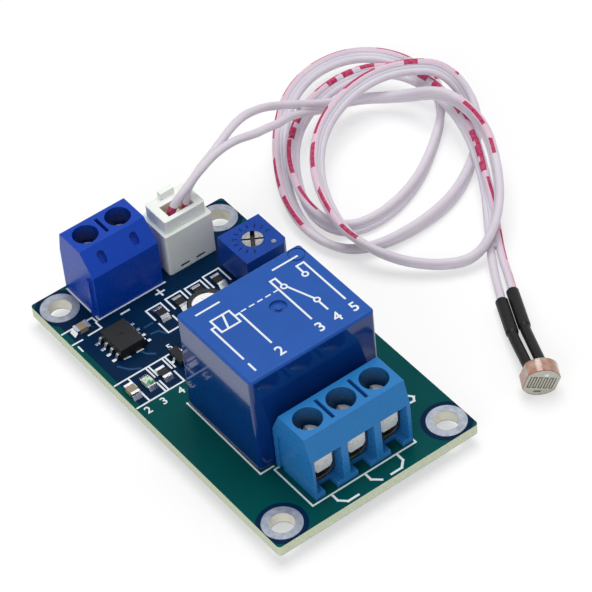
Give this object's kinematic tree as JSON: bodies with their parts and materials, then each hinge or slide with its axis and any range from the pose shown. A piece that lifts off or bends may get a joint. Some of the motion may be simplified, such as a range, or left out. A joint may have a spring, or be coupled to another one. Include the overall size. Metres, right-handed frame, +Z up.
{
  "type": "light sensor relay module",
  "caption": "Small relay board with screw terminal blocks, a set-point trimmer and a plug-in light sensor on a coiled two wire lead.",
  "frame": {"origin": "centre of the board assembly's footprint, at the tips of the pins under the board; the sensor lead and its plug are not counted", "axes": "+X along the board towards the three pole output block, +Y towards the side that the sensor lead lies on, +Z up out of the board's component side"},
  "size_m": [0.069, 0.0719, 0.0206],
  "materials": {
    "circuit_board": "satin",
    "plating": "satin",
    "output_block_blue": "satin",
    "power_block_blue": "satin",
    "relay_blue": "gloss",
    "trimmer_blue": "satin",
    "terminal_steel": "polished",
    "terminal_brass": "nickel plated",
    "black_plastic": "matt",
    "bobbin_plastic": "matt",
    "white_nylon": "satin",
    "iron": "satin",
    "copper_wire": "enamelled",
    "tinned_leads": "satin",
    "ceramic_tan": "matt",
    "resistor_black": "satin",
    "led_clear": "gloss",
    "can_aluminium": "satin",
    "sleeve_black": "satin",
    "solder": "satin",
    "lead_insulation": "satin",
    "shrink_sleeve": "satin",
    "cell_ceramic": "glazed"
  },
  "bodies": {
    "board_assembly": {"circuit_board": "circuit_board", "mounting_rings": "plating", "output_terminal_housing": "output_block_blue", "power_terminal_housing": "power_block_blue", "output_terminal_cages": "terminal_brass", "power_terminal_cages": "terminal_brass", "relay_cover": "relay_blue", "relay_base": "relay_blue", "relay_yoke": "iron", "relay_core": "iron", "relay_bobbin": "bobbin_plastic", "relay_winding": "copper_wire", "relay_closed_contact": "copper_wire", "relay_open_contact": "copper_wire", "relay_coil_pins": "tinned_leads", "relay_common_pin": "tinned_leads", "header_shell": "white_nylon", "header_pins": "tinned_leads", "plug_housing": "white_nylon", "plug_contacts": "tinned_leads", "trimmer_body": "trimmer_blue", "trimmer_pins": "tinned_leads", "comparator_body": "black_plastic", "comparator_leads": "tinned_leads", "transistor_body": "black_plastic", "transistor_leads": "tinned_leads", "chip_resistors": "resistor_black", "chip_resistor_ends": "tinned_leads", "ceramic_capacitors": "ceramic_tan", "ceramic_capacitor_ends": "tinned_leads", "indicator_led": "led_clear", "indicator_led_ends": "tinned_leads", "flyback_diode": "black_plastic", "flyback_diode_tabs": "tinned_leads", "capacitor_can": "can_aluminium", "capacitor_sleeve": "sleeve_black", "capacitor_leads": "tinned_leads", "solder_joints": "solder", "sensor_lead": "lead_insulation", "sensor_lead_coil": "lead_insulation", "sensor_lead_tail": "lead_insulation", "sensor_sleeves": "shrink_sleeve", "sensor_cell": "cell_ceramic", "sensor_leads": "tinned_leads"},
    "trimmer_rotor": {"trimmer_rotor": "white_nylon"},
    "armature": {"relay_armature": "iron", "relay_moving_contact": "copper_wire"},
    "output_wire_guard_1": {"output_wire_guard_1": "terminal_steel"},
    "output_screw_1": {"output_screw_1": "terminal_steel"},
    "output_wire_guard_2": {"output_wire_guard_2": "terminal_steel"},
    "output_screw_2": {"output_screw_2": "terminal_steel"},
    "output_wire_guard_3": {"output_wire_guard_3": "terminal_steel"},
    "output_screw_3": {"output_screw_3": "terminal_steel"},
    "power_wire_guard_1": {"power_wire_guard_1": "terminal_steel"},
    "power_screw_1": {"power_screw_1": "terminal_steel"},
    "power_wire_guard_2": {"power_wire_guard_2": "terminal_steel"},
    "power_screw_2": {"power_screw_2": "terminal_steel"}
  },
  "joints": [
    {"name": "trimmer_turn", "type": "hinge", "parent": "board_assembly", "child": "trimmer_rotor", "pos_m": [-0.0133, 0.011, 0.008], "axis": [0, 0, 1], "range_deg": [-120, 120]},
    {"name": "relay_armature_pivot", "type": "hinge", "parent": "board_assembly", "child": "armature", "pos_m": [0.00822, -0.00702, 0.016], "axis": [1, 0, 0], "range_deg": [-2.2, 0], "stiffness_Nm_per_rad": 0.004, "springref_deg": 2.86},
    {"name": "output_wire_guard_1_lift", "type": "slide", "parent": "board_assembly", "child": "output_wire_guard_1", "axis": [0, 0, 1], "range_m": [-0.0008, 0.001]},
    {"name": "output_screw_1_turn", "type": "hinge", "parent": "output_wire_guard_1", "child": "output_screw_1", "pos_m": [0.0203, -0.00508, 0.0099], "axis": [0, 0, 1], "range_deg": [-600, 740]},
    {"name": "output_wire_guard_2_lift", "type": "slide", "parent": "board_assembly", "child": "output_wire_guard_2", "axis": [0, 0, 1], "range_m": [-0.0008, 0.001]},
    {"name": "output_screw_2_turn", "type": "hinge", "parent": "output_wire_guard_2", "child": "output_screw_2", "pos_m": [0.0203, 0, 0.0099], "axis": [0, 0, 1], "range_deg": [-600, 740]},
    {"name": "output_wire_guard_3_lift", "type": "slide", "parent": "board_assembly", "child": "output_wire_guard_3", "axis": [0, 0, 1], "range_m": [-0.0008, 0.001]},
    {"name": "output_screw_3_turn", "type": "hinge", "parent": "output_wire_guard_3", "child": "output_screw_3", "pos_m": [0.0203, 0.00508, 0.0099], "axis": [0, 0, 1], "range_deg": [-600, 740]},
    {"name": "power_wire_guard_1_lift", "type": "slide", "parent": "board_assembly", "child": "power_wire_guard_1", "axis": [0, 0, 1], "range_m": [-0.0008, 0.001]},
    {"name": "power_screw_1_turn", "type": "hinge", "parent": "power_wire_guard_1", "child": "power_screw_1", "pos_m": [-0.02405, -0.00232, 0.0099], "axis": [0, 0, 1], "range_deg": [-600, 740]},
    {"name": "power_wire_guard_2_lift", "type": "slide", "parent": "board_assembly", "child": "power_wire_guard_2", "axis": [0, 0, 1], "range_m": [-0.0008, 0.001]},
    {"name": "power_screw_2_turn", "type": "hinge", "parent": "power_wire_guard_2", "child": "power_screw_2", "pos_m": [-0.02405, -0.0074, 0.0099], "axis": [0, 0, 1], "range_deg": [-600, 740]}
  ],
  "couplings": [
    {"joint": "output_screw_1_turn", "follows": "output_wire_guard_1_lift", "rad_per_m": 12566},
    {"joint": "output_screw_2_turn", "follows": "output_wire_guard_2_lift", "rad_per_m": 12566},
    {"joint": "output_screw_3_turn", "follows": "output_wire_guard_3_lift", "rad_per_m": 12566},
    {"joint": "power_screw_1_turn", "follows": "power_wire_guard_1_lift", "rad_per_m": 12566},
    {"joint": "power_screw_2_turn", "follows": "power_wire_guard_2_lift", "rad_per_m": 12566}
  ]
}
